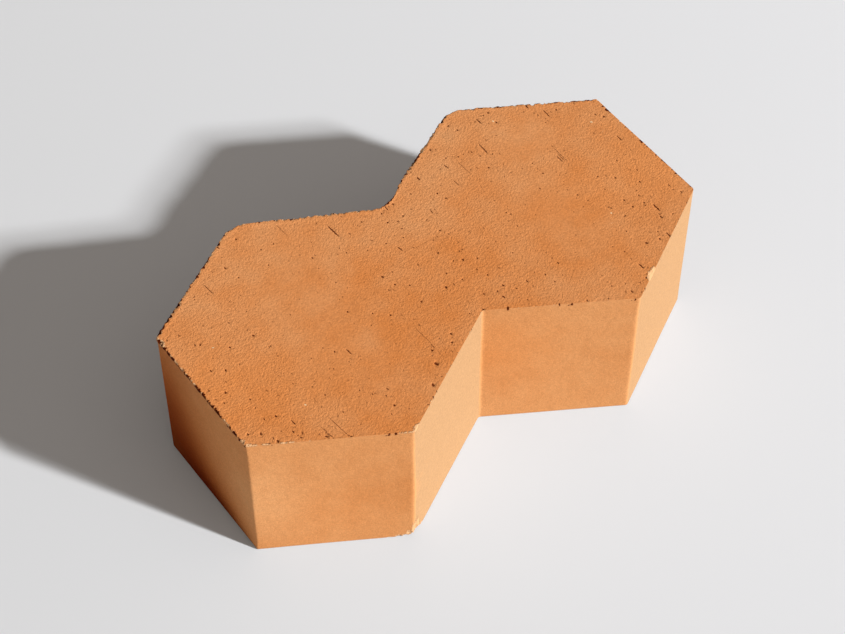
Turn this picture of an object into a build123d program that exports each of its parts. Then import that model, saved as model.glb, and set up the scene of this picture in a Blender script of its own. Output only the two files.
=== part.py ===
from build123d import *
import math
import os

# A solid clay paving brick in the shape of two hexagons that share one side.
# The clay column was pressed through a die, with the outline below as its section, and cut by a
# wire into slabs. The sides are smooth die faces, and the top and the bed are the two wire cuts.
# Lengths are in millimetres. +X runs along the brick and +Z is up. The origin is at the centre of
# the figure, on the bed that the brick lies on.

# Driving dimensions
ACROSS_FLATS = 100.0  # of each hexagon, so the brick is two of these long
THICKNESS = 65.0  # from the bed to the top, between the two wire cuts
CRISP_RADIUS = 1.6  # of the upright corners that kept the die's shape
BELT_RADIUS = 10.0  # of the two rear corners, flattened where the wet column lay on its belt
NOTCH_RADIUS = 1.0  # at the foot of the front notch
SAGGED_NOTCH_RADIUS = 7.0  # at the foot of the rear notch
NOTCH_SAG = 3.0  # how much shallower the rear notch is than the front one
ARRIS_RADIUS = 0.6  # of the worn edge round the top and the bed

# Each hexagon stands on a point in plan, so its side and its two widths follow from the flats.
SIDE = ACROSS_FLATS / math.sqrt(3)
HALF_SIDE = SIDE / 2
HEXAGON_CENTRE = ACROSS_FLATS / 2

# The ten corners of the outline, in order round the brick: x, y and the corner's own radius.
CORNERS = {
    "left_rear": (-ACROSS_FLATS, HALF_SIDE, CRISP_RADIUS),
    "rear_left": (-HEXAGON_CENTRE, SIDE, BELT_RADIUS),
    "rear_notch": (0, HALF_SIDE + NOTCH_SAG, SAGGED_NOTCH_RADIUS),
    "rear_right": (HEXAGON_CENTRE, SIDE, BELT_RADIUS),
    "right_rear": (ACROSS_FLATS, HALF_SIDE, CRISP_RADIUS),
    "right_front": (ACROSS_FLATS, -HALF_SIDE, CRISP_RADIUS),
    "front_right": (HEXAGON_CENTRE, -SIDE, CRISP_RADIUS),
    "front_notch": (0, -HALF_SIDE, NOTCH_RADIUS),
    "front_left": (-HEXAGON_CENTRE, -SIDE, CRISP_RADIUS),
    "left_front": (-ACROSS_FLATS, -HALF_SIDE, CRISP_RADIUS),
}


def die_section():
    """The column's section: straight sides between the ten corners, each rounded by its radius."""
    points = [(x, y) for x, y, _ in CORNERS.values()]
    radii = [radius for _, _, radius in CORNERS.values()]
    with BuildSketch() as sketch:
        with BuildLine():
            FilletPolyline(*points, radius=radii, close=True)
        make_face()
    return sketch.sketch


def brick_body():
    """One slab of the column, with the edges of both wire cuts worn round."""
    with BuildPart() as part:
        add(die_section())
        extrude(amount=THICKNESS)
        cut_faces = part.faces().filter_by(Axis.Z)
        fillet(cut_faces.edges(), radius=ARRIS_RADIUS)
    return part.part


def main():
    os.makedirs("parts", exist_ok=True)
    brick = brick_body()
    export_step(brick, "parts/brick.step")
    size = brick.bounding_box().size
    print(f"brick {size.X:.1f} x {size.Y:.1f} x {size.Z:.1f} mm, {brick.volume / 1e6:.3f} litres")


main()
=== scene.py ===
# %% [markdown]
# A brick of fired clay in the shape of two hexagons that share a side. The clay was pressed through
# a die as one long column, and a stretched wire cut the column into slabs, as cheese is cut. So the
# brick has two kinds of face: ten upright sides that the die left smooth, and a top and a bed that the
# wire left rough. This file keeps the size of the CAD solid and works the real surface out round it:
# the relief of the wire cut, its pits and tears, the ragged rear edge and the chipped arrises.

# %% Load the frame
import math

import bpy
import numpy as np
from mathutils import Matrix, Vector


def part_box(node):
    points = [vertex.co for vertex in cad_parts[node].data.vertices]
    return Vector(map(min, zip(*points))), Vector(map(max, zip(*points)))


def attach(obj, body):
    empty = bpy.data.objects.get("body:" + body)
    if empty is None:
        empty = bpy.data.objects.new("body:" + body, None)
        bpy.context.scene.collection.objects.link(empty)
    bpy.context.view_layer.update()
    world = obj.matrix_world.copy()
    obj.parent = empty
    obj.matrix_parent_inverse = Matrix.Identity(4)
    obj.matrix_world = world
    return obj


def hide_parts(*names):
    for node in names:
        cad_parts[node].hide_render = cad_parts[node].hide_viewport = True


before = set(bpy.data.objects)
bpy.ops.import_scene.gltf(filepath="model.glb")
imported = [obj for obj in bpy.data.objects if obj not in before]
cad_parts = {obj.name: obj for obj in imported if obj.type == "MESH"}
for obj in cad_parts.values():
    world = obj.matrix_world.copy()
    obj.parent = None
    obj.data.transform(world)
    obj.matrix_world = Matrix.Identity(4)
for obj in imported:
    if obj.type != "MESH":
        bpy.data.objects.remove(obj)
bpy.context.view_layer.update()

MM = 0.001  # lengths below are in millimetres, and Blender's are in metres

# %% [markdown]
# The outline comes first, because everything else hangs on it. Each hexagon stands on a point in plan,
# so one length, across its flats, gives all ten corners. The column lay on its two rear corners while
# the clay was wet, and that is why they are flattened round and the notch between them has sagged.
# The corners could be copied as numbers, but a formula keeps them true to the CAD solid's own box.

# %% The ten corners
low, high = (np.array(corner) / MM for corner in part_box("brick"))
THICKNESS = high[2]
FLATS = (high[0] - low[0]) / 2  # across the flats of each hexagon
SIDE = FLATS / math.sqrt(3)
CRISP = 1.6  # radius of the upright corners that kept the die's shape
BELT = 10.0  # radius of the two rear corners that the wet column lay on
SAG = 3.0  # how much shallower the rear notch is than the front one
SAG_RADIUS = 7.0
NOTCH_RADIUS = 1.0
NOTCH_OFF = 0.8  # how far to the right of the middle the front notch stands
CRISPEST = 0.8  # radius of the left end's front corner

# Anticlockwise from above, from the left end's front corner: x, y and the radius.
CORNERS = [
    (-FLATS, -SIDE / 2, CRISPEST),
    (-FLATS / 2, -SIDE, CRISP),
    (NOTCH_OFF, -SIDE / 2, NOTCH_RADIUS),
    (FLATS / 2, -SIDE, CRISP),
    (FLATS, -SIDE / 2, CRISP),
    (FLATS, SIDE / 2, CRISP),
    (FLATS / 2, SIDE, BELT),
    (0, SIDE / 2 + SAG, SAG_RADIUS),
    (-FLATS / 2, SIDE, BELT),
    (-FLATS, SIDE / 2, CRISP),
]
LEFT_FRONT, RIGHT_FRONT, RIGHT_REAR, LEFT_REAR = 0, 4, 5, 9  # the corners of the two ends
REAR_NOTCH = 7
print(f"hexagons {FLATS:.1f} mm across flats, sides {SIDE:.2f} mm, {THICKNESS:.1f} mm thick")

# %% Round the corners
ARC_POINTS = 33
SMALLEST_RADIUS = 0.5  # of a corner of a ring inside the outline


def unit(vectors):
    """Each vector over its own length."""
    return vectors / np.linalg.norm(vectors, axis=-1, keepdims=True)


def corner_arc(before, corner, after, radius):
    """The arc that rounds one corner. Its centre lies on the corner's bisector, at the radius divided
    by the sine of half the angle, and its ends are where it touches the two sides."""
    to_before, to_after = unit(before - corner), unit(after - corner)
    half = math.acos(to_before @ to_after) / 2
    centre = corner + unit(to_before + to_after) * radius / math.sin(half)
    ends = [corner + side * radius / math.tan(half) - centre for side in (to_before, to_after)]
    first, last = np.unwrap([math.atan2(y, x) for x, y in ends])
    turn = np.linspace(first, last, ARC_POINTS)
    return centre + radius * np.stack([np.cos(turn), np.sin(turn)], axis=-1)


def die_outline(inset):
    """The closed outline this far inside the die's. Each corner moves in along its bisector by the inset
    over the sine of half its angle. Its radius shrinks by the inset, or grows by it at a notch."""
    spots = np.array([(x, y) for x, y, _ in CORNERS])
    to_before, to_after = (unit(np.roll(spots, step, axis=0) - spots) for step in (1, -1))
    turn_in = to_after[:, 0] * to_before[:, 1] - to_after[:, 1] * to_before[:, 0]  # below 0 at a notch
    moved = spots + inset * (to_before + to_after) / turn_in[:, None]
    arcs = []
    for i, (_, _, radius) in enumerate(CORNERS):
        radius = max(radius - inset, SMALLEST_RADIUS) if turn_in[i] > 0 else radius + inset
        arcs.append(corner_arc(moved[i - 1], moved[i], moved[(i + 1) % len(CORNERS)], radius))
    outline = np.roll(np.concatenate(arcs), -(ARC_POINTS // 2), axis=0)  # from the first arc's middle
    return np.concatenate([outline, outline[:1]])


outline = die_outline(0)
print("outline:", len(outline), "points, from", outline.min(0).round(2), "to", outline.max(0).round(2))

# %% [markdown]
# The brick's skin is one profile carried round the outline, from a ring inside the bed, up the side to a
# ring inside the top, and a patch fills each of the two rings. A patch could be a fan of triangles from
# its centre, but those would crowd in the middle. A Coons patch spreads them evenly: it is the surface
# between four edge curves, here the front, the rear and the two ends.

# %% Walk round the outline
ALONG = 296  # steps along the brick in a coarse ring, each about 0.7 mm
ACROSS = 160  # steps from the front to the rear
AROUND = 4 * (ALONG + ACROSS)  # steps in a fine ring, which has two for each coarse one

length = np.concatenate([[0], np.cumsum(np.linalg.norm(np.diff(outline, axis=0), axis=1))])
places = np.arange(len(outline))
ends = [ARC_POINTS * corner for corner in (LEFT_FRONT, RIGHT_FRONT, RIGHT_REAR, LEFT_REAR, len(CORNERS))]
legs = zip(ends, ends[1:], (ALONG, ACROSS) * 2)
walks = [np.linspace(length[first], length[last], 2 * steps + 1)[:-1] for first, last, steps in legs]
travel = np.concatenate(walks)  # how far round the outline each step of the fine ring is, in mm
station = np.interp(travel, length, places)


def ring_at(inset):
    """The fine ring this far inside the outline. A step keeps its station, which is its place in the
    list of the outline's points, so that rings of different insets don't twist."""
    inner = die_outline(inset)
    return np.stack([np.interp(station, places, inner[:, axis]) for axis in (0, 1)], axis=-1)


ring = ring_at(0)
tangent = np.roll(ring, -1, axis=0) - np.roll(ring, 1, axis=0)
outward = unit(np.stack([tangent[:, 1], -tangent[:, 0]], axis=-1))
print("fine ring:", AROUND, "steps of", round(length[-1] / AROUND, 2), "mm")

# %% Span a ring with a patch


def four_edges(rim, along, across):
    """A ring's front, right end, rear and left end, each in +X or +Y. Neighbours share a corner."""
    lap, far = np.concatenate([rim, rim[:1]]), along + across
    front, right, rear, left = lap[: along + 1], lap[along : far + 1], lap[far:], lap[far + along :]
    return front, right, rear[: along + 1][::-1], left[::-1]


def coons(rim, along, across):
    """The Coons patch inside a ring: the front and the rear blended by v, plus the two ends blended by
    u, less the blend of the four corners, because both sums have counted them."""
    front, right, rear, left = four_edges(rim, along, across)
    front, right, rear, left = front[:, None], right[None], rear[:, None], left[None]
    u = np.linspace(0, 1, along + 1)[:, None, None]
    v = np.linspace(0, 1, across + 1)[None, :, None]
    corners = (1 - u) * ((1 - v) * front[:1] + v * rear[:1]) + u * ((1 - v) * front[-1:] + v * rear[-1:])
    return (1 - v) * front + v * rear + (1 - u) * left + u * right - corners


patch = coons(ring[::2], ALONG, ACROSS)
cell = np.linalg.norm(np.diff(patch, axis=1), axis=-1)
print("cells across are", cell.min().round(2), "to", cell.max().round(2), "mm")

# %% [markdown]
# Clay has no straight lines, so its relief needs a smooth random height. Blender's noise textures
# could push the points out with a Displace modifier, but then the colours couldn't follow the same
# pits. Gradient noise in numpy gives the heights as plain arrays: a random slope stands at each knot
# of a lattice, and between the knots the four slopes are blended.

# %% A noise for clay
KNOTS = 512


def clay_noise(x, y, seed):
    """Gradient noise of about -0.7 to 0.7, one bump to a unit. At each of a cell's four knots it takes
    the knot's random slope times the distance from it, and fades them by 6t^5 - 15t^4 + 10t^3."""
    angle = np.random.default_rng(seed).uniform(0, 2 * math.pi, (KNOTS, KNOTS))
    column, row = np.floor(x).astype(int), np.floor(y).astype(int)
    height = 0.0
    for step_x in (0, 1):
        for step_y in (0, 1):
            turn = angle[(column + step_x) % KNOTS, (row + step_y) % KNOTS]
            away_x, away_y = x - column - step_x, y - row - step_y
            fade = 1.0
            for near in (1 - np.abs(away_x), 1 - np.abs(away_y)):
                fade = fade * near**3 * (near * (near * 6 - 15) + 10)
            height = height + fade * (np.cos(turn) * away_x + np.sin(turn) * away_y)
    return height


def smooth_step(value, start, stop):
    """0 before the start, 1 after the stop, and 3t^2 - 2t^3 between them."""
    t = np.clip((value - start) / (stop - start), 0, 1)
    return t * t * (3 - 2 * t)


trial = clay_noise(patch[..., 0], patch[..., 1], 1)
print("clay noise:", trial.min().round(2), "to", trial.max().round(2))

# %% [markdown]
# The wire was drawn from the front to the rear, in +Y. Stiff clay folds a little ahead of a wire, and
# the folds lie along it, in X: fine ripples under two millimetres apart. The clay in the middle of each
# hexagon left the die faster and denser than the clay that rubbed along its walls, so the wire cut
# it cleaner there. The whole cut only goes down from the wire's own plane, because the wire took off
# what stood above it.

# %% Depth of the wire cut
SWELL, SWELL_DEPTH = 34.0, 0.12  # the wire's own slow wander
RIPPLE_LENGTH, RIPPLE, RIPPLE_DEPTH = 4.2, 1.5, 0.034  # folds ahead of the wire
WANDER, WANDER_LENGTH = 0.8, 9.0  # how far a fold strays, in ripples, and over what length
PATCH_X, PATCH_Y = 16.0, 11.0  # of the patches where the folds are stronger
PEEL, PEEL_DEPTH = 1.2, 0.026  # the torn skin, like orange peel
DEEPEST_NOISE = 0.7
# x and y of the middle of each dense core, and its two radii
CORES = [(-46, 2, 20, 40), (52, -12, 15, 24), (64, 28, 14, 12)]
CORE_SMOOTHING = 0.6  # how much less coarse the cut is in a core


def coarseness(x, y):
    """How coarse the cut is, from 0.4 in a dense core to 1 away from them: each core is a bell curve
    in its own radii, and the deepest counts."""
    bells = [
        np.exp(-(((x - mid_x) / wide) ** 2) - ((y - mid_y) / deep) ** 2)
        for mid_x, mid_y, wide, deep in CORES
    ]
    return 1 - CORE_SMOOTHING * np.max(bells, axis=0)


def wire_cut(x, y, seed):
    """Height below the wire's plane in mm: a slow swell, ripples that are long in x and short in y,
    and a peel. Each is noise less its own highest value, times its depth and the coarseness."""
    wander = WANDER * clay_noise(x / WANDER_LENGTH, y / WANDER_LENGTH, seed + 4)
    swell = clay_noise(x / SWELL, y / SWELL, seed) - DEEPEST_NOISE
    ripple = clay_noise(x / RIPPLE_LENGTH, y / RIPPLE + wander, seed + 1) - DEEPEST_NOISE
    patchy = 0.4 + smooth_step(clay_noise(x / PATCH_X, y / PATCH_Y, seed + 2), -0.3, 0.4)
    peel = clay_noise(x / PEEL, y / (0.85 * PEEL), seed + 3) - DEEPEST_NOISE
    coarse = coarseness(x, y)
    return SWELL_DEPTH * swell + coarse * (RIPPLE_DEPTH * ripple * patchy + PEEL_DEPTH * peel)


TOP_SEED, BED_SEED = 11, 41
trial = wire_cut(patch[..., 0], patch[..., 1], TOP_SEED)
print("wire cut:", trial.min().round(2), "to", trial.max().round(2), "mm")

# %% [markdown]
# Grains that the wire caught were dragged out, and left pits and short open tears along Y. The largest
# are listed where they are on this very brick, and smaller ones are scattered between them. A
# tear is thinner than the mesh's cells, so a mask kept at the points would blur it. Each point keeps
# its place in the nearest mark's own coordinates instead. Those run evenly across a cell, and the
# material cuts the mark's sharp outline from them.

# %% Tears and pits
# x and y of a tear's middle, its length, its width, and its lean from +Y in degrees
TEARS = [
    (-20.9, 33.5, 7.5, 0.6, 4), (48.7, 34.2, 7.0, 0.45, -3), (-72.9, 37.0, 6.0, 0.3, 6),
    (79.6, 34.6, 4.6, 0.5, -4), (56.0, 46.6, 3.4, 0.5, 3), (75.5, 41.8, 2.0, 0.5, 0),
    (68.9, 12.9, 3.6, 0.4, 0), (82.7, -27.5, 4.4, 0.65, -2), (77.6, -40.2, 2.4, 0.5, 0),
    (59.9, -46.0, 3.2, 0.6, 4), (31.8, 35.0, 2.8, 0.4, 5), (19.7, 36.2, 2.0, 0.5, 0),
    (-48.3, -16.0, 3.2, 0.45, 5), (-6.0, 12.0, 3.0, 0.4, 8), (14.0, 20.0, 2.6, 0.35, -6),
    (30.0, 26.0, 3.8, 0.3, 4), (94.0, 8.0, 3.0, 0.45, 0), (-81.2, -29.8, 2.6, 0.45, 6),
    (1.4, 31.0, 2.4, 0.5, 0),
]
# x and y of a pit, its length along the wire's travel, its width and its lean
PITS = [
    (-51.9, 51.3, 1.0, 0.7, 0), (-81.1, 10.3, 1.1, 0.6, 0), (32.1, 45.4, 1.2, 0.8, 0),
    (-89.8, -33.3, 1.3, 0.8, 0), (68.5, -38.7, 1.3, 0.8, 40), (-71.5, 9.9, 1.4, 0.6, 20),
    (-68.6, -46.6, 1.4, 0.8, 0), (49.5, -53.4, 1.5, 0.6, 0), (-75.3, -41.5, 1.5, 0.6, 30),
    (-33.0, -45.1, 1.7, 1.0, -8), (-26.6, -38.3, 1.9, 1.0, 10),
]
# x and y of the others, which have no lean, by their length and their width
SIZED_PITS = {
    (0.8, 0.6): [(-13.3, -4.0), (6.3, -4.0), (14.1, -8.0), (3.7, -12.9), (-65.7, -26.6), (63.0, -5.4)],
    (0.9, 0.6): [
        (-38.4, -0.9), (12.4, -16.6), (-26.9, -11.1), (-52.3, -13.0), (-87.8, -12.9), (-72.2, -44.6),
        (-16.6, -34.0), (-1.6, 30.0), (46.6, 47.7), (80.5, -22.9), (95.2, -26.9),
    ],
    (1.0, 0.6): [
        (-2.3, 25.3), (-17.4, -0.6), (5.9, -22.9), (-92.8, -32.5), (-96.5, -24.9), (21.1, 26.0),
        (83.9, 34.0), (75.3, -17.6),
    ],
    (1.1, 0.7): [(-62.6, 42.0), (-34.3, 27.4), (-49.0, -44.4), (4.6, 31.4)],
    (1.2, 0.7): [(-93.1, -5.5), (-24.4, -32.6), (61.1, 42.3), (96.4, 20.4)],
}
PITS += [(*place, *size, 0) for size, places in SIZED_PITS.items() for place in places]
# x, y, length, width and lean of the pale specks, which are grains of lime or quartz
SPECKS = [
    (-73.6, -26.1, 1.0, 0.6, 20), (-85.9, 13.6, 1.0, 0.5, 60), (60.4, 43.3, 1.1, 0.8, 0),
    (67.3, -19.9, 0.9, 0.8, 0), (90.7, 20.8, 1.2, 0.9, 40),
]
# x, y, length, width and lean of the hairlines, where the wire dragged a grain
HAIRLINES = [
    (-69.6, -41.0, 13.0, 0.2, 6), (-74.0, -41.5, 10.0, 0.17, 9), (-23.0, -26.0, 9.0, 0.15, 4),
    (36.9, 30.3, 8.0, 0.17, 2), (70.5, 14.5, 9.0, 0.18, 0), (-36.0, 45.0, 7.0, 0.16, 4),
]
SMALL_PITS = 240  # scattered ones, of which some are left out
MARK_GAP = 3.2  # mm that a small pit keeps from any other mark
NOWHERE = 9.0  # farther than any place in a mark's coordinates that counts
NO_MARK = (NOWHERE, NOWHERE, 0.5)  # the place of a point that is near no mark
STEEPNESS = 0.8  # a mark's depth, as a share of its half width


def mark_places(x, y, marks):
    """Each point's place in the nearest mark's coordinates: how far across the mark in half widths,
    how far along it in half lengths, and its half width in mm. A mark leans by turning x and y."""
    nearest = np.full(x.shape, NOWHERE**2)
    place = np.zeros(x.shape + (3,)) + NO_MARK
    for mark_x, mark_y, length, width, lean in marks:
        cos, sin = math.cos(math.radians(lean)), math.sin(math.radians(lean))
        off_x, off_y = x - mark_x, y - mark_y
        across = (off_x * cos + off_y * sin) * 2 / width
        along = (off_y * cos - off_x * sin) * 2 / length
        nearness = across**2 / 9 + along**2
        closer = nearness < nearest
        nearest = np.where(closer, nearness, nearest)
        here = np.stack([across, along, np.full(x.shape, width / 2)], axis=-1)
        place = np.where(closer[..., None], here, place)
    return place


def mark_height(place):
    """A mark's height in mm: minus its half width times the steepness, times a bell curve."""
    return -STEEPNESS * place[..., 2] * np.exp(-(place[..., 0] ** 2) / 2 - place[..., 1] ** 4)


listed = TEARS + PITS + HAIRLINES
scatter = np.random.default_rng(5)
small = scatter.uniform(low[:2] + 4, high[:2] - 4, (SMALL_PITS, 2))
taken = np.concatenate([np.array(listed)[:, :2], small])
gaps = np.linalg.norm(small[:, None] - taken, axis=2)
earlier = np.arange(len(taken)) < len(listed) + np.arange(SMALL_PITS)[:, None]
small = small[~(earlier & (gaps < MARK_GAP)).any(1)]  # marks too close together would run into one
small_width = scatter.uniform(0.35, 0.7, len(small)) * coarseness(*small.T)
small_length = small_width * scatter.uniform(1.0, 2.4, len(small))
small_lean = scatter.uniform(-25, 25, len(small))
MARKS = listed + list(zip(*small.T, small_length, small_width, small_lean))
print(len(TEARS), "tears,", len(PITS) + len(small), "pits and", len(HAIRLINES), "hairlines")

# %% [markdown]
# Next the profile. Each of its levels is a ring with an inset, a height and a lean, which is how far the
# skin has turned from upright there. The levels stand close together at the two arrises, where the
# crumbs are, and there the ring is fine. Away from them fewer steps are enough, so a level may keep only
# every second, fourth or eighth step.

# %% The profile
ARRIS = 0.55  # radius of the worn arris
TOP_LEVEL = THICKNESS - 0.15  # the wire's plane, with room above it for the lips of the rear edge
CROWN = TOP_LEVEL - ARRIS  # where the side ends and the arris's round starts
BED_RINGS = [(9.0, 8), (5.0, 4), (2.6, 2), (1.2, 1)]  # inset, and how many fine steps make one
FOOT_RINGS = (ARRIS, 1.2, 2.1, 3.2)
SIDE_RINGS = np.linspace(4.5, 59.0, 9)
CROWN_RINGS = (-3.4, -2.3, -1.5, -0.9, -0.4, 0.0)
TOP_RINGS = (0.9, 1.3, 1.8, 2.4)
PATCH_INSET = 3.3


def round_at(lean):
    """The lean in degrees with the arris's inset and rise there: its radius times 1 less the lean's
    cosine, and times its sine."""
    turn = math.radians(lean)
    return lean, ARRIS * (1 - math.cos(turn)), ARRIS * math.sin(turn)


ROUND = [round_at(lean) for lean in (90, 60, 30)]
# Each level's inset, its height, its lean in degrees, and how many fine steps make one
PROFILE = (
    [(inset, 0, -90, share) for inset, share in BED_RINGS]
    + [(inset, ARRIS - rise, -lean, 1) for lean, inset, rise in ROUND]
    + [(0, z, 0, 1) for z in FOOT_RINGS]
    + [(0, z, 0, 2) for z in SIDE_RINGS]
    + [(0, CROWN + z, 0, 1) for z in CROWN_RINGS]
    + [(inset, CROWN + rise, lean, 1) for lean, inset, rise in ROUND[::-1]]
    + [(inset, TOP_LEVEL, 90, 1) for inset in TOP_RINGS]
    + [(PATCH_INSET, TOP_LEVEL, 90, 2)]
)
print(len(PROFILE), "levels")

# %% Carry the profile round


def carry(inset, z, lean, share):
    """One level's points as columns: x, y, z, the distance round, the way out, the inset, the lean."""
    flat = ring_at(inset)[::share]
    rest = np.broadcast_to([inset, math.radians(lean)], flat.shape)
    heights = np.full((len(flat), 1), z)
    return np.concatenate([flat, heights, travel[::share, None], outward[::share], rest], axis=1)


def fill(rim_columns, along, across):
    """The inner points of the patch in a level's ring, with the same columns. Far from the sides, the
    distance round and the way out count for nothing."""
    inner = coons(rim_columns[:, :3], along, across)[1:-1, 1:-1].reshape(-1, 3)
    rest = np.concatenate([[0, 0, 0], rim_columns[0, 6:]])
    return np.concatenate([inner, np.broadcast_to(rest, (len(inner), len(rest)))], axis=1)


shells = [carry(*level) for level in PROFILE]
BED_STEPS = ALONG * 2 // BED_RINGS[0][1], ACROSS * 2 // BED_RINGS[0][1]
shells += [fill(shells[0], *BED_STEPS), fill(shells[len(PROFILE) - 1], ALONG, ACROSS)]
first_numbers = np.cumsum([0] + [len(shell) for shell in shells])
columns = np.concatenate(shells)
points = columns[:, :3].copy()
round_way, out_way, depth_in, lean = columns[:, 3], columns[:, 4:6], columns[:, 6], columns[:, 7]
print(len(points), "points")

# %% [markdown]
# The skin closes without a gap because neighbours share point numbers. Between two levels of as many
# steps run four-sided faces, and between a fine and a coarse level a strip of three triangles to each
# coarse step. Every face is listed anticlockwise as seen from outside.

# %% Join the skin


def quads(numbers):
    """The four-sided faces of a grid of point numbers."""
    corners = [numbers[:-1, :-1], numbers[1:, :-1], numbers[1:, 1:], numbers[:-1, 1:]]
    return np.stack(corners, axis=-1).reshape(-1, 4)


def strip(lower, upper):
    """The faces between two rings. Where one has twice the steps, each coarse step takes a triangle on
    each of its two fine steps, and one that points down at their shared point."""
    below, above = np.append(lower, lower[0]), np.append(upper, upper[0])
    if len(lower) == len(upper):
        return quads(np.stack([below, above], axis=-1))
    many, few = (below, above) if len(lower) > len(upper) else (above, below)
    start, middle, stop = many[:-1:2], many[1::2], many[2::2]
    near, far = few[:-1], few[1:]
    corners = (start, middle, near), (middle, far, near), (middle, stop, far)
    triangles = np.concatenate([np.stack(corner, axis=-1) for corner in corners])
    return triangles if many is below else triangles[:, ::-1]  # turned round, so that they face out


def number_grid(rim_numbers, along, across, first):
    """The point numbers of a patch: the rim's own round its edge, and new ones from the first inside."""
    numbers = np.empty((along + 1, across + 1), int)
    numbers[:, 0], numbers[-1], numbers[:, -1], numbers[0] = four_edges(rim_numbers, along, across)
    numbers[1:-1, 1:-1] = first + np.arange((along - 1) * (across - 1)).reshape(along - 1, -1)
    return numbers


rings = [np.arange(first, last) for first, last in zip(first_numbers, first_numbers[1:])][: len(PROFILE)]
strips = [strip(lower, upper) for lower, upper in zip(rings, rings[1:])]
bed_faces = quads(number_grid(rings[0], *BED_STEPS, first_numbers[-3]))[:, ::-1]
top_faces = quads(number_grid(rings[-1], ALONG, ACROSS, first_numbers[-2]))
faces = strips + [bed_faces, top_faces]
LEANING = 50  # degrees, up to which a face is part of the side
leans = np.array(PROFILE)[:, 2]
upright = [*(np.abs(leans[1:] + leans[:-1]) / 2 < LEANING), False, False]
die_smooth = np.concatenate([np.full(len(group), smooth) for group, smooth in zip(faces, upright)])
print(sum(len(group) * (group.shape[1] - 2) for group in faces), "triangles")

# %% [markdown]
# The relief moves those points. The die's faces wave slowly in and out. The wire cut goes down from
# its plane, and round an arris each of the two fades out as the skin turns.

# %% Give the faces their relief
BOW, BOW_HEIGHT, BOW_DEPTH = 40.0, 90.0, 0.3  # how far apart the sides' slow bows are, and how deep
CLOUD, CLOUD_DEPTH = 8.0, 0.04  # how far apart and deep their faint unevenness is


def side_inset(s, z):
    """How far the side lies inside the die's plane, s mm round the outline and z up: slow bows and a
    faint cloudiness, each noise taken from its highest value."""
    bow = DEEPEST_NOISE - clay_noise(s / BOW, z / BOW_HEIGHT + 0.5, 71)
    cloud = DEEPEST_NOISE - clay_noise(s / CLOUD, z / CLOUD, 72)
    return BOW_DEPTH / 2 * bow + CLOUD_DEPTH * cloud


def places_on_top(marks):
    """Each point's place in the nearest mark, where only the points of the top can be in one."""
    place = mark_places(x, y, marks)
    place[lean < FLATTEST] = NO_MARK
    return place


x, y, z = points.T  # these follow the points as they move
FLATTEST = math.radians(80)  # from this lean on a point is on the top
on_side = np.cos(lean) ** 2
on_top, on_bed = np.clip(np.sin(lean), 0, 1) ** 2, np.clip(-np.sin(lean), 0, 1) ** 2
marks = places_on_top(MARKS)
cut = on_top * (wire_cut(x, y, TOP_SEED) + mark_height(marks)) - on_bed * wire_cut(x, y, BED_SEED)
points[:, :2] -= (on_side * side_inset(round_way, z))[:, None] * out_way
points[:, 2] += cut
print("the deepest mark is", -cut.min().round(2), "mm below the wire's plane")

# %% [markdown]
# The wire enters at the front and leaves at the rear, so the front arris is crisp and the rear one is
# ragged: clay that the wire dragged over the edge stands out as a lip, and under it the side is torn
# back. The lip is noise of the distance walked round the outline, along the rear and the left end, and
# it counts only near the arris, by a bell curve in the distance from it over the profile.

# %% Tear the rear edge
LIP_OUT = 0.5  # mm that the lip stands out on the whole
LIP, LIP_REACH = 2.2, 0.32  # how far apart the lips are, and how far they waver
LIP_AT, LIP_WIDE = -0.1, 0.9  # mm from the arris, over the profile, and how wide it is
RISE, RISE_AT = 0.12, 0.3  # mm that it stands above the wire's plane, and where
TORN, TORN_DEPTH = 3.0, 0.6  # how far apart the hollows under it are, and how deep
TORN_AT, TORN_WIDE = -1.9, 0.8  # their place and width over the profile
NOTCH_TORN, NOTCH_REACH = 1.3, 6.0  # how far it is torn back beside the rear notch, and along it
SHARP = 0.35  # mm taken off the arris's radius along the front
# How much of each side's top arris has painted shade, from the front side at the left end on
EDGE_SHADE_SHARES = [0.04, 0.02, 0.05, 0.02, 0.2, 0.3, 0.6, 0.12, 0.65, 0.85]

# The lip starts at the right end's rear corner, and along the left end it is half as strong.
rear_start, rear_stop = length[ends[2]], length[ends[3]]
ragged = smooth_step(round_way, rear_start - 8, rear_start + 4)
ragged *= 1 - 0.5 * smooth_step(round_way, rear_stop - 2, rear_stop + 2)
inward, downward = np.clip(depth_in - ARRIS, 0, None), np.clip(CROWN - z, 0, None)
from_arris = np.where(z > THICKNESS / 2, inward - downward, NOWHERE)


def bell(value, middle, width):
    return np.exp(-(((value - middle) / width) ** 2))


def round_noise(spacing, seed):
    """Noise in the distance round the outline alone, about -0.5 to 0.5."""
    return clay_noise(round_way / spacing, np.full(len(points), 0.5), seed)


notch_place = length[ARC_POINTS * REAR_NOTCH]
beside_notch = bell(round_way, notch_place - 7, NOTCH_REACH)
lip_waver = round_noise(LIP, 81) + 0.9 * round_noise(0.9, 82)
lip = LIP_OUT + LIP_REACH * lip_waver - NOTCH_TORN * beside_notch
torn = TORN_DEPTH * smooth_step(round_noise(TORN, 83), -0.1, 0.3)
lip *= bell(from_arris, LIP_AT, LIP_WIDE)
lip_out = ragged * (lip - torn * bell(from_arris, TORN_AT, TORN_WIDE))
points[:, :2] += lip_out[:, None] * out_way
points[:, 2] += ragged * RISE * (1 + round_noise(2.0, 84)) * bell(from_arris, RISE_AT, LIP_WIDE) * on_top

# The wire left the front arris sharp, and so each point of its round goes out to a smaller radius.
on_round = SHARP * (1 - 0.8 * ragged) * (from_arris == 0)
points[:, :2] += (on_round * (1 - np.cos(lean)))[:, None] * out_way
points[:, 2] += on_round * (1 - np.sin(lean))


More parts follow.
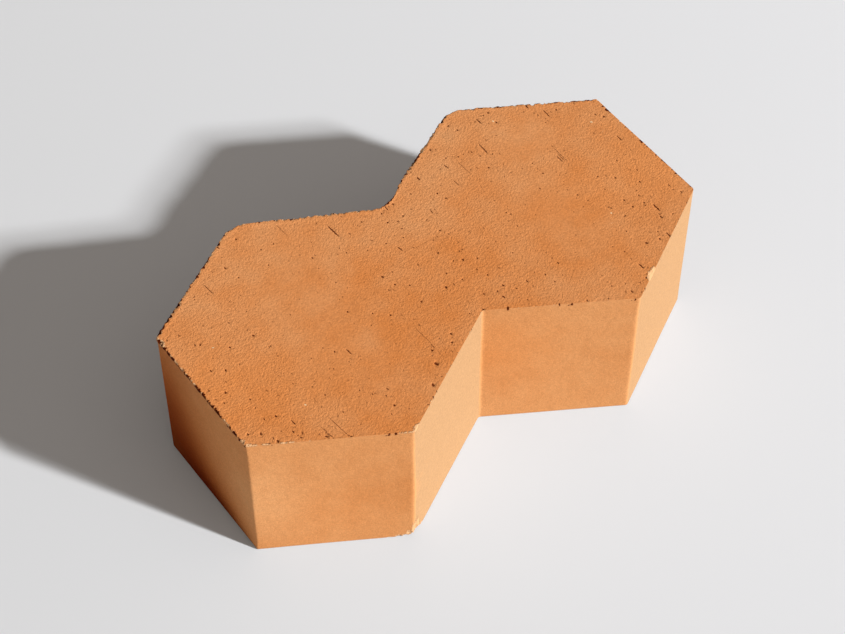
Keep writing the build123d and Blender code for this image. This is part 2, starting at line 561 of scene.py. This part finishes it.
def side_at(s):
    """The number of the side s mm round the outline: each ends at the middle of a corner's arc."""
    return (np.searchsorted(length[::ARC_POINTS], s % length[-1], side="right") - 1) % len(CORNERS)


# Painted shade: a dark band on the top arris stands for the shade of the torn lip. Each side has its
# share of it, picked by rank.
notch_share = 0.97 * bell(round_way, notch_place - 3, 5.0)
edge_shade_share = np.maximum(np.take(EDGE_SHADE_SHARES, side_at(round_way)), notch_share)
gap = round_noise(2.4, 85) + 0.7 * round_noise(0.9, 86)
rank = np.searchsorted(np.sort(gap), gap) / len(gap)
painted_edge_shade = smooth_step(rank, 0.95 - edge_shade_share, 1.05 - edge_shade_share)
reach_in = 0.3 + 0.8 * round_noise(1.2, 87)  # mm in from the arris
reach_down = -0.15 - 1.6 * np.abs(round_noise(1.7, 88))  # mm down the side
painted_edge_shade *= smooth_step(from_arris, reach_in, reach_in - 0.4)
painted_edge_shade *= smooth_step(from_arris, reach_down - 0.5, reach_down)
print("the rear edge goes", lip_out.min().round(2), "to", lip_out.max().round(2), "mm out")

# %% [markdown]
# Fired clay chips at its arrises as a shell does: each knock takes a small scoop with a sharp rim. A
# Boolean could cut them, but on a fine mesh it is slow and leaves slivers. Here each scoop is a ball:
# every point inside it moves straight out from the ball's centre to its surface, and the broken clay
# is remembered at each point, because it is paler and rougher than the skin.

# %% Chip the arrises
broken = np.zeros(len(points))


def chip(place, out, radius, depth, rim=1.0):
    """Moves each point inside a ball to its surface. The ball goes into the arris by its depth, and its
    radius wavers with noise, so that no scoop is a perfect bowl. The rim, a share of the radius, is how
    far out the skin is broken."""
    centre = place + unit(np.array(out)) * (radius - depth)
    near = np.flatnonzero(((points - centre) ** 2).sum(1) < (CHIP_REACH * radius) ** 2)
    away = points[near] - centre
    distance = np.linalg.norm(away, axis=1)
    waver = clay_noise(points[near, 0] / 0.9 + points[near, 2] / 1.3, points[near, 1] / 0.9, CHIP_NOISE)
    wall = radius * (1 + CHIP_WAVER * waver)
    inside = distance < wall
    points[near[inside]] = centre + away[inside] / distance[inside, None] * wall[inside, None]
    broken[near[distance < rim * wall]] = 1


def arris_place(s, height, up):
    """A place on an arris and the way out of it there, s mm round from the left end's front corner: the
    outline's own way out, tilted up or down."""
    k = np.searchsorted(travel, s % length[-1]) % AROUND
    return (*ring[k], height), (*outward[k], up)


CHIP_RIM = 1.2
CHIP_NOISE, CHIP_WAVER, CHIP_REACH = 91, 0.3, 1.4  # the seed, a ball's waver, and its farthest wall
front_left, front_right = SIDE, 3 * SIDE
# s round the outline, the height, the radius and the depth of the chips that show best
CHIPS = [
    (front_right + 9.8, THICKNESS, 1.8, 0.9), (front_right + 11.6, THICKNESS, 2.4, 1.2),
    (front_right + 13.8, THICKNESS, 1.8, 0.9), (front_left, 0.0, 3.6, 1.9),
    (front_left + 0.3, 2.4, 2.8, 1.3), (front_left - 2.2, 1.6, 1.7, 0.7),
    (front_left - 3.0, 0.0, 2.6, 1.0), (front_left - 6.0, 0.0, 1.8, 0.6),
    (front_left - 10.0, 0.0, 1.3, 0.4), (front_left + 2.2, 0.5, 3.0, 1.5),
    (front_left + 5.0, 0.0, 1.8, 0.6), (front_left - 1.0, THICKNESS, 1.6, 0.5),
    (front_left - 4.0, THICKNESS, 1.4, 0.3), (front_left + 1.5, THICKNESS, 2.2, 0.7),
    (1.0, THICKNESS, 1.8, 0.6), (2.6, THICKNESS, 1.2, 0.4), (6.4, THICKNESS, 1.4, 0.4),
    (13.0, THICKNESS, 1.8, 0.5), (15.2, THICKNESS, 1.5, 0.4), (-2.4, THICKNESS, 1.6, 0.6),
    (length[-1] - SIDE + 2.6, THICKNESS, 2.4, 0.9),
]
for at, height, radius, depth in CHIPS:
    tilt = 1 if height > THICKNESS / 2 else 0.3 * height - 0.4
    chip(*arris_place(at, height, tilt), radius, depth, CHIP_RIM)

rng = np.random.default_rng(7)
NIBBLES = 420
FRONT_NIBBLE = 0.6  # how large a nibble is along the front, of one along the rear
for at, radius, top_side in zip(
    rng.uniform(0, length[-1], NIBBLES), rng.uniform(0.5, 1.3, NIBBLES), rng.random(NIBBLES) < 0.7
):
    height, up = (TOP_LEVEL, 1.2) if top_side else (0, -1.2)
    radius *= FRONT_NIBBLE if at < rear_start else 1
    chip(*arris_place(at, height, up), radius, rng.uniform(0.15, 0.4) * radius)

# Along the rear and the left end larger bites are out of the lip. They face away from the light.
BITES = 60
for at, radius in zip(rng.uniform(rear_start + 6, length[-1], BITES), rng.uniform(0.5, 1.1, BITES)):
    chip(*arris_place(at, TOP_LEVEL, 0.8), radius, rng.uniform(0.3, 0.6) * radius)
points = np.clip(points, low, high)
print(int(broken.sum()), "points in", len(CHIPS), "chips,", NIBBLES, "nibbles and", BITES, "bites")

# %% [markdown]
# No brick is one colour. Where more air reached it in the kiln it turned paler and dustier, and where
# its neighbours stood close it turned deeper. A noise would give clouds too, but in the wrong places,
# so the ones that show on this brick are listed, each as a soft ball of shade in the clay, and the
# materials only add small clouds to them. Some of this is painted light and shade: the two sides that
# face the lamp are painted paler and greyer, a deeper, richer patch at the front notch stands for light
# bounced between its sides, and the left end, which lies in shadow, is painted a deep red-brown that
# darkens towards its foot.

# %% Shade from the kiln, and painted light and shade
# The bloom at x 4, y -30 is painted light: the deeper colour that light bounced between the front
# notch's sides gives it.
# x, y and z of a bloom's middle, its reach in mm, and its shade: above 0 is paler, below 0 is deeper
BLOOMS = [
    (-62, 48, 65, 26, 0.9), (-20, 44, 65, 16, 0.6), (52, 56, 65, 28, 0.9), (4, 22, 65, 16, 0.3),
    (2, -10, 65, 18, -0.6), (-76, -34, 65, 22, -0.2), (-30, -36, 65, 13, -0.5), (-30, -2, 65, 13, -0.4),
    (38, 14, 65, 22, 0.4), (-96, 12, 65, 20, 0.6), (97, -8, 65, 22, 1.0), (54, -12, 65, 22, 0.1),
    (-52, -58, 30, 22, -0.9), (-101, -28, 28, 16, 1.4), (10, 36, 65, 20, 0.6), (4, -30, 30, 18, -0.3),
    (50, -58, 30, 18, -0.4),
]
# Painted shade on the left end, which lies in shadow: as the blooms, but each gives a share of dark
# red-brown
PAINTED_END_SHADES = [
    (-100, 30, 6, 34, 0.71), (-100, 10, 8, 22, 0.23), (-100, 2, -6, 16, 0.5), (-100, -12, -4, 12, 0.4),
    (-100, 28, 36, 20, 0.35), (-100, 24, 67, 24, 0.28),
]
# Where the clay of the wire cut is a richer orange, and where that of the sides is
RICH_CUT = [
    (-80, -20, 65, 22, 0.2), (72, -6, 65, 16, 0.2), (98, -12, 65, 16, 0.4), (-97, 0, 65, 16, 0.4),
]
# The first of the rich sides, at the front notch, is painted light: the richer orange of light bounced
# between its sides.
RICH_SIDES = [(6, -32, 40, 20, 0.3), (-75, -43, 20, 20, 0.15)]
# Each side's own shade, from the front side at the left end on. The high ones, on the sides that face
# the lamp, are painted highlight: a paler, greyer colour for the strongest light
FACE_SHADES_AND_HIGHLIGHTS = [0.0, 3.0, 0.0, 2.8, 0.8, 0.0, 0.0, 0.0, 0.0, -0.1]
SPREAD = np.linspace(-0.9, 0.9, 7)  # mm over which one side's shade turns into the next one's


def blooms_at(spots, blooms):
    """The sum of the blooms at each spot: each is its shade times a bell curve in its reach."""
    shade = np.zeros(len(spots))
    for *middle, reach, strength in blooms:
        away = ((spots - middle) ** 2).sum(1)
        shade += strength * np.exp(-away / reach**2)
    return shade


# Painted highlight: the sides that face the lamp get a high shade, which makes them paler and greyer.
face_shade_and_highlight = np.mean([np.take(FACE_SHADES_AND_HIGHLIGHTS, side_at(round_way + s)) for s in SPREAD], axis=0)
# Painted shade: the left end, which lies in shadow, turns a dark red-brown towards its foot and its
# rear.
painted_end_shade = np.clip(on_side * blooms_at(points, PAINTED_END_SHADES), 0, 1)
tone_and_painted_light = blooms_at(points, BLOOMS) + on_side * face_shade_and_highlight
# The left end's painted shade also makes it a richer orange.
rich = on_top * blooms_at(points, RICH_CUT) + on_side * blooms_at(points, RICH_SIDES) + painted_end_shade
print("kiln shade:", tone_and_painted_light.min().round(2), "to", tone_and_painted_light.max().round(2))

# %% Put the skin into a mesh
specks = places_on_top(SPECKS)
coarse = coarseness(points[:, 0], points[:, 1])

mesh = bpy.data.meshes.new("clay_brick")
mesh.from_pydata(points * MM, [], sum((group.tolist() for group in faces), []))
mesh.polygons.foreach_set("use_smooth", np.ones(len(mesh.polygons), bool))
mesh.polygons.foreach_set("material_index", die_smooth.astype(np.int32))
shades = {"tone_and_painted_light": tone_and_painted_light, "rich": rich, "painted_end_shade": painted_end_shade, "broken": broken, "painted_edge_shade": painted_edge_shade, "coarse": coarse}
for name, values in {"mark": marks, "speck": specks, **shades}.items():
    kind, part = ("FLOAT", "value") if values.ndim == 1 else ("FLOAT_VECTOR", "vector")
    mesh.attributes.new(name, kind, "POINT").data.foreach_set(part, values.ravel())
mesh.update()


def put(name, data):
    """A new object in the scene."""
    thing = bpy.data.objects.new(name, data)
    bpy.context.scene.collection.objects.link(thing)
    return thing


brick = put("clay_brick", mesh)
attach(brick, "root")
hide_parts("brick")
print("mesh is valid:", not mesh.validate())

# %% [markdown]
# Now the finishes. A material here is a small network of nodes, and one short function adds a node
# with its settings and links. Colours are written as they look on screen, in sRGB hex, and one
# function turns them into the linear light that the renderer adds up.

# %% Helpers for materials


def linear(code):
    """An sRGB hex colour as linear red, green, blue and an alpha of 1: each part over 255 is divided
    by 12.92 if dark, and else raised to 2.4 after (c + 0.055) / 1.055."""
    parts = [int(code[i : i + 2], 16) / 255 for i in (0, 2, 4)]
    return tuple(c / 12.92 if c <= 0.04045 else ((c + 0.055) / 1.055) ** 2.4 for c in parts) + (1.0,)


def add(tree, kind, inputs=None, **settings):
    """Adds one node with its settings. Each input is a value or the output that it is linked from."""
    node = tree.nodes.new("ShaderNode" + kind)
    for name, value in settings.items():
        setattr(node, name, value)
    for name, value in (inputs or {}).items():
        if isinstance(value, bpy.types.NodeSocket):
            tree.links.new(value, node.inputs[name])
        else:
            node.inputs[name].default_value = value
    return node


def maths(tree, operation, *values, kind="Math", output=0):
    """One step of arithmetic on numbers or, with the kind VectorMath, on vectors."""
    return add(tree, kind, dict(enumerate(values)), operation=operation).outputs[output]


def ramp(tree, value, start, stop, to_start=0.0, to_stop=1.0):
    """Takes the span from start to stop to the second span: a straight line with flat ends."""
    ends = {"Value": value, "From Min": start, "From Max": stop, "To Min": to_start, "To Max": to_stop}
    return add(tree, "MapRange", ends).outputs[0]


FACTOR, FIRST, SECOND, MIXED = 0, 6, 7, 2  # the colour sockets of a Mix node


def blend(tree, share, first, second):
    """The first colour times 1 less the share, plus the second times the share."""
    colours = {FACTOR: share, FIRST: first, SECOND: second}
    return add(tree, "Mix", colours, data_type="RGBA").outputs[MIXED]


def noise(tree, mm, scale, detail, roughness=0.5, output=0):
    """A noise with this many bumps to a millimetre, and finer ones by its detail."""
    inputs = {"Vector": mm, "Scale": scale, "Detail": detail, "Roughness": roughness}
    return add(tree, "TexNoise", inputs).outputs[output]


def kept(tree, name, output="Fac"):
    """What the mesh keeps at its points under this name."""
    return add(tree, "Attribute", attribute_name=name).outputs[output]


SHINE = 0.02  # dry clay and matt paint mirror almost nothing


def finish(tree, colour, height, bounce_colour, roughness):
    """Joins a colour and a height in mm to the shader. Rays of bounced light find the other colour."""
    shader = tree.nodes["Principled BSDF"]
    bounced = add(tree, "LightPath").outputs["Is Diffuse Ray"]
    tree.links.new(blend(tree, bounced, colour, linear(bounce_colour)), shader.inputs["Base Color"])
    bump = add(tree, "Bump", {"Height": height, "Distance": MM, "Strength": 1.0}).outputs[0]
    tree.links.new(bump, shader.inputs["Normal"])
    shader.inputs["Roughness"].default_value = roughness
    shader.inputs["Specular IOR Level"].default_value = SHINE


def coat(piece, build):
    """Gives the piece a new material, named for the function that builds it from the place in mm."""
    material = bpy.data.materials.new(build.__name__)
    material.use_nodes = True
    tree = material.node_tree
    place = add(tree, "TexCoord").outputs["Object"]
    build(tree, maths(tree, "MULTIPLY", place, (1 / MM,) * 3, kind="VectorMath"))
    piece.data.materials.append(material)
    print(material.name, len(tree.nodes), "nodes")


print("mid grey is", [round(v, 3) for v in linear("808080")])

# %% [markdown]
# Both finishes start from the same clay: an iron-bearing clay fired at about 1000 degrees, which turns
# it orange. Its colour runs from deep to pale with the kiln's shade, and it is painted a deep red-brown
# towards the left end's foot, as painted shade for that end in shadow. The colours are as the brick
# looks in full light. Real clay throws back less light than that, and so light that only bounces off the
# brick finds it at a greyer shade.

# %% The body of the clay
REAL_CLAY = "9E8E82"
# The rich colour is a saturated orange. The dusty one is the palest clay, and a painted highlight on the
# two sides that face the lamp. The last is the dark red-brown of the left end's painted shade.
RICH, DUST_AND_HIGHLIGHT, END_SHADE_BROWN = "DC823C", "BE9267", "7A2A04"
PALEST, DUSTIEST = 1.2, 2.2  # the shades where the clay is all pale, and then all dusty
NOISE_SPAN = 0.3, 0.7  # where nearly all of a noise node's values lie
GRAIN = 0.5  # mm across a sand grain: real ones are half that, too fine for the render
CRUMBS, CRUMB_HEIGHT = 1.9, 0.45  # to a mm, and how high they stand on broken clay
WORN_EDGE = 0.9, 1.15  # from where to where a mask plus its crumbs covers the clay
# The dark colour of the torn edge is painted shade: it stands for the shade under the torn lip.
BROKEN, PAINTED_EDGE_SHADE = "E2AD7C", "521C06"  # fresh clay is paler, and torn clay in its own shade is dark


def clay_colour(tree, mm, cloud, drift, deep, pale):
    """The clay's colour without pores. The kiln's shade and a noise of small clouds mix deep with pale,
    and a high shade turns it dusty, which on the two sides that face the lamp is a painted highlight.
    The left end's painted shade mixes in a dark red-brown. The drift is how much shade the clouds add."""
    clouds = ramp(tree, noise(tree, mm, 1 / cloud, 3.0), *NOISE_SPAN, -drift, drift)
    shade = maths(tree, "ADD", kept(tree, "tone_and_painted_light"), clouds)
    shares = {
        pale: ramp(tree, shade, -PALEST, PALEST),
        RICH: kept(tree, "rich"),
        DUST_AND_HIGHLIGHT: ramp(tree, shade, PALEST, DUSTIEST),
        # the dark red-brown of the left end's painted shade
        END_SHADE_BROWN: kept(tree, "painted_end_shade"),
    }
    colour = linear(deep)
    for code, share in shares.items():
        colour = blend(tree, share, colour, linear(code))
    return colour


def sand(tree, mm, colour, contrast):
    """The colour with each grain of sand in a tone of its own, and the distance from its middle."""
    grains = add(tree, "TexVoronoi", {"Vector": mm, "Scale": 1 / GRAIN})
    pick = add(tree, "SeparateColor", {0: grains.outputs["Color"]}).outputs[0]
    tone = ramp(tree, pick, 0, 1, 1 - contrast, 1 + contrast)
    return maths(tree, "MULTIPLY", colour, tone, kind="VectorMath"), grains.outputs["Distance"]


def worn(tree, mm, colour, height):
    """The colour and the height with broken clay and the painted shade of the torn edge over them. A
    noise of half a millimetre shifts the two masks before they are cut sharp, and lies on broken clay as
    crumbs."""
    crumbs = noise(tree, mm, CRUMBS, 2.0)
    for name, code, crumb in (("broken", BROKEN, CRUMB_HEIGHT), ("painted_edge_shade", PAINTED_EDGE_SHADE, 0.0)):
        mask = ramp(tree, maths(tree, "ADD", kept(tree, name), crumbs), *WORN_EDGE)
        colour = blend(tree, mask, colour, linear(code))
        height = maths(tree, "MULTIPLY_ADD", maths(tree, "MULTIPLY", crumbs, mask), crumb, height)
    return colour, height


print("real clay throws back", [round(v, 2) for v in linear(REAL_CLAY)[:3]])

# %% [markdown]
# Wire-cut terracotta: the cut laid the clay's grains bare, so it is quite matt and a shade deeper than
# the sides. The eye reads it by grains of sand and small clods that catch the low light, and by its
# pores, each with its floor painted dark brown as painted shade in the hollow. All of them are fewer
# and fainter in the dense cores.

# %% Wire-cut terracotta
CUT_SAND, CUT_GRAIN_FALL = 0.12, 0.11  # the grains' contrast, and mm that one falls over its width
CLOD, CLOD_HEIGHT = 0.9, 0.24  # mm across a clod of grains, and how high it stands
PORE_CELL = 2.3  # mm between the places where a pore may be
PORE_STRETCH = 0.6  # a pore's width, of its length along the wire's travel
PORE_LARGEST = 0.36  # mm, its radius
PORE_FREE = 0.72  # the share of the places that have none
PORE_EDGE = -0.03, 0.09  # from where to where a pore darkens, in cells inside its radius
PORE_DARK = 0.25, 0.9  # how dark the faintest and the darkest pores are
PORE_BENDS, PORE_BEND = 1.3, 1.3  # to a mm, and how far in mm they push a pore's outline
# Pits, pores and tears get a dark brown floor: painted shade in their hollows.
HOLE_SHADE, HOLE_DEPTH = "6B3013", 0.25
SPECK = "EBC79A"
MARK_BENDS, MARK_BEND = 1.8, 1.3  # the same for a mark, but the second in its half widths
MARK_EDGE = 1.1, 0.5  # from where to where it darkens, where 1 is its plain outline


def wire_cut_terracotta(tree, mm):
    body = clay_colour(tree, mm, cloud=14.0, drift=0.7, deep="D27F41", pale="D9945E")
    coarse = kept(tree, "coarse")

    # Grains of sand stand proud of the clay, in small clods
    body, from_grain = sand(tree, mm, body, CUT_SAND)
    relief = maths(tree, "MULTIPLY", noise(tree, mm, 1 / CLOD, 1.0), CLOD_HEIGHT)
    relief = maths(tree, "MULTIPLY_ADD", from_grain, -CUT_GRAIN_FALL, relief)
    relief = maths(tree, "MULTIPLY", relief, coarse)

    # Pores: the nearest of scattered points. One random number gives its radius, one how dark it is
    bend = noise(tree, mm, PORE_BENDS, 2.0, output="Color")
    bent = maths(tree, "MULTIPLY_ADD", bend, (PORE_BEND, PORE_BEND, 0), mm, kind="VectorMath")
    to_cells = (1 / PORE_CELL, PORE_STRETCH / PORE_CELL, 0)
    cells = {"Vector": maths(tree, "MULTIPLY", bent, to_cells, kind="VectorMath"), "Scale": 1.0}
    scatter = add(tree, "TexVoronoi", cells, voronoi_dimensions="2D")
    pick = add(tree, "SeparateColor", {0: scatter.outputs["Color"]}).outputs
    radius = ramp(tree, pick[0], PORE_FREE, 1, 0, PORE_LARGEST / PORE_CELL)
    radius = maths(tree, "MULTIPLY", radius, coarse)
    pore = ramp(tree, maths(tree, "SUBTRACT", radius, scatter.outputs["Distance"]), *PORE_EDGE)
    pore = maths(tree, "MULTIPLY", pore, ramp(tree, pick[1], 0, 1, *PORE_DARK))

    # Marks: the ragged ellipse where the two squares, across and along, come to less than 1
    ragged = ramp(tree, noise(tree, mm, MARK_BENDS, 3.0), 0, 1, -MARK_BEND, MARK_BEND)

    def inside_of(name):
        parts = add(tree, "SeparateXYZ", {0: kept(tree, name, "Vector")}).outputs
        across = maths(tree, "ADD", parts[0], ragged)
        square = maths(tree, "MULTIPLY", across, across)
        return ramp(tree, maths(tree, "MULTIPLY_ADD", parts[1], parts[1], square), *MARK_EDGE)

    hole = maths(tree, "MAXIMUM", pore, inside_of("mark"))
    colour = blend(tree, hole, body, linear(HOLE_SHADE))
    colour = blend(tree, inside_of("speck"), colour, linear(SPECK))
    height = maths(tree, "MULTIPLY_ADD", hole, -HOLE_DEPTH, relief)
    finish(tree, *worn(tree, mm, colour, height), REAL_CLAY, roughness=0.9)


coat(brick, wire_cut_terracotta)

# %% [markdown]
# Die-smoothed terracotta: the steel die pressed the finest clay and water to the sides and left a thin
# close skin. It is paler than the cut, with an even fine grain and hardly any pores.

# %% Die-smoothed terracotta
SIDE_SAND, SIDE_GRAIN_FALL = 0.08, 0.035
SKIN_FOLD, SKIN_HEIGHT = 3.2, 0.32  # mm across the widest unevenness of the skin, and how high it is


def die_smoothed_terracotta(tree, mm):
    body = clay_colour(tree, mm, cloud=9.0, drift=0.3, deep="C7814A", pale="DB9D67")
    body, from_grain = sand(tree, mm, body, SIDE_SAND)
    folds = noise(tree, mm, 1 / SKIN_FOLD, 5.0, roughness=0.73)
    height = maths(tree, "MULTIPLY", folds, SKIN_HEIGHT)
    height = maths(tree, "MULTIPLY_ADD", from_grain, -SIDE_GRAIN_FALL, height)
    finish(tree, *worn(tree, mm, body, height), REAL_CLAY, roughness=0.75)


coat(brick, die_smoothed_terracotta)

# %% [markdown]
# The floor is plain and pale, and takes the brick's shadow. It is painted a little brighter to the
# right: painted light, for the fall of a lamp's light across it.
# It also throws light back on the sides, and there it stands for the whole white studio, so that rays
# of bounced light find it brighter than the camera does.

# %% The floor
FLOOR_HALF = 6000.0
PAINTED_LIGHT_WAY = (0.81, -0.59, 0.0)  # level, and to the right as the camera looks
PAINTED_LIGHT_OVER = 230.0  # mm each side of the brick's centre
FLOOR_LEFT, FLOOR_RIGHT, THROWN = "D6D6D6", "E8E8E9", "F2F2F2"


def matt_white_paint(tree, mm):
    # Painted light: the floor's colour brightens to the right, as a lamp's fall-off would make it.
    along = maths(tree, "DOT_PRODUCT", mm, PAINTED_LIGHT_WAY, kind="VectorMath", output="Value")
    share = ramp(tree, along, -PAINTED_LIGHT_OVER, PAINTED_LIGHT_OVER)
    paint = blend(tree, share, linear(FLOOR_LEFT), linear(FLOOR_RIGHT))
    finish(tree, paint, 0.0, THROWN, roughness=0.95)


floor_mesh = bpy.data.meshes.new("floor")
corners = [(-1, -1, 0), (1, -1, 0), (1, 1, 0), (-1, 1, 0)]
floor_mesh.from_pydata([Vector(corner) * FLOOR_HALF * MM for corner in corners], [], [(0, 1, 2, 3)])
floor = put("floor", floor_mesh)
coat(floor, matt_white_paint)
print("floor:", 2 * FLOOR_HALF * MM, "m square")

# %% [markdown]
# The lamp stands far off to the right of the camera, low enough that the shadow is one and a half times
# as long as the brick is high. It could be an area lamp, but that lights the near floor more than the
# far floor, so it is a sun. A sun has a size too: one under three degrees across keeps the shadow's
# edge firm at the foot and soft far out. The real lamp is brighter at its upper end, and so a second
# sun with over a third of the light stands just below the first, and gives the edge a paler outer step.

# %% The lamps
LAMP_TURN = -60.1  # degrees from +X, seen from above
LAMP_HEIGHT = 31.1  # degrees above the floor
LAMP_TINT = (0.975, 1.0, 1.03)


def sun(name, turn, height, angle, share):
    """A sun lamp that gives a level white surface this share of full brightness: its strength is pi
    times the share, over the sine of its height. The angles are in degrees."""
    turn, height = math.radians(turn), math.radians(height)
    data = bpy.data.lights.new(name, "SUN")
    data.angle = math.radians(angle)
    data.energy = math.pi * share / math.sin(height)
    data.color = LAMP_TINT
    lamp = put(name, data)
    level = math.cos(height)
    toward = Vector((level * math.cos(turn), level * math.sin(turn), math.sin(height)))
    lamp.location = toward * 2
    lamp.rotation_euler = toward.to_track_quat("Z", "Y").to_euler()
    print(name, "of", round(data.energy, 2), "W per square metre")


sun("main_lamp", LAMP_TURN, LAMP_HEIGHT, angle=2.7, share=0.448)
sun("low_lamp", LAMP_TURN - 1.3, LAMP_HEIGHT - 2.5, angle=3.4, share=0.276)

# %% [markdown]
# The world fills the shadows in. An even white world would light the brick's shaded end as much from
# the side as from above, and flatten it. So this one is a pale ceiling: its light is strongest overhead,
# a little towards the front, and falls off towards the horizon as the square of a cosine. The camera
# sees a plain pale backdrop instead, which Light Path allows without any more light on the brick.

# %% The world
WORLD_SHARE = 0.283  # of the light on a level surface
BACKDROP = 0.78
CEILING = Vector((0.0, -0.3, 1.0)).normalized()  # the way to the brightest part
CEILING_TINT = (1.07, 0.985, 0.92, 1)  # warmer than the lamps

world = bpy.data.worlds.new("studio")
world.use_nodes = True
bpy.context.scene.world = world
tree = world.node_tree
way = add(tree, "TexCoord").outputs["Generated"]
facing = maths(tree, "DOT_PRODUCT", way, CEILING, kind="VectorMath", output="Value")
above = maths(tree, "MAXIMUM", facing, 0.0)
# Over a level surface the square of the cosine adds up to half of an even sky.
light = maths(tree, "MULTIPLY", maths(tree, "MULTIPLY", above, above), 2 * WORLD_SHARE)
path = add(tree, "LightPath").outputs
seen = maths(tree, "MAXIMUM", path["Is Camera Ray"], path["Is Glossy Ray"])
seen = maths(tree, "MAXIMUM", seen, path["Is Transmission Ray"])
# The sockets 0, 2 and 3 of a Mix node are those for plain numbers.
strength = add(tree, "Mix", {0: seen, 2: light, 3: BACKDROP}, data_type="FLOAT").outputs[0]
tree.links.new(strength, tree.nodes["Background"].inputs["Strength"])
tree.nodes["Background"].inputs["Color"].default_value = CEILING_TINT
bpy.context.scene.view_settings.view_transform = "Standard"
print("world:", len(tree.nodes), "nodes")

# %% [markdown]
# The camera stands where the photographer's did: its place was found from the brick's own corners,
# which a solid of known shape allows. A long lens keeps the upright edges nearly parallel.

# %% The camera
CAMERA_AT = Vector((-299.6, -404.8, 659.9))
CAMERA_TO = Vector((-3.0, 2.3, 32.5))
SENSOR, LENS = 36.0, 91.4  # mm, the width of the sensor and the focal length

camera = put("camera", bpy.data.cameras.new("camera"))
camera.data.sensor_width, camera.data.lens = SENSOR, LENS
camera.location = CAMERA_AT * MM
camera.rotation_euler = (CAMERA_TO - CAMERA_AT).to_track_quat("-Z", "Y").to_euler()
bpy.context.scene.camera = camera
print("camera", round((CAMERA_TO - CAMERA_AT).length), "mm from the brick")
